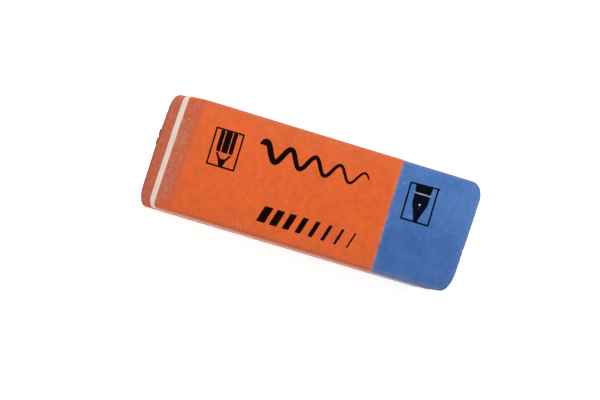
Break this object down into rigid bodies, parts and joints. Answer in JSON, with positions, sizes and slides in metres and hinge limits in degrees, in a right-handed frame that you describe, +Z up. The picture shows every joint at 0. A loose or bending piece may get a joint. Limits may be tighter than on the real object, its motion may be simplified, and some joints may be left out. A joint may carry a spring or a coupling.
{
  "type": "rubber eraser",
  "caption": "Flat slanted-end rubber eraser: soft red rubber along most of it for pencil, a harder blue end for ink, and a thin white core layer between.",
  "frame": {"origin": "centre of the block's box on its underside, where it rests", "axes": "+X along the block towards the blue end, +Y across it to the side away from the printed marks' feet, +Z up from the underside to the printed face"},
  "size_m": [0.0578, 0.021, 0.008],
  "materials": {
    "red_rubber": "matte",
    "blue_rubber": "matte",
    "white_rubber": "matte",
    "print_ink": "matte"
  },
  "bodies": {
    "root": {"red_upper_layer": "red_rubber", "blue_upper_layer": "blue_rubber", "white_core_layer": "white_rubber", "red_lower_layer": "red_rubber", "blue_lower_layer": "blue_rubber"}
  },
  "joints": []
}
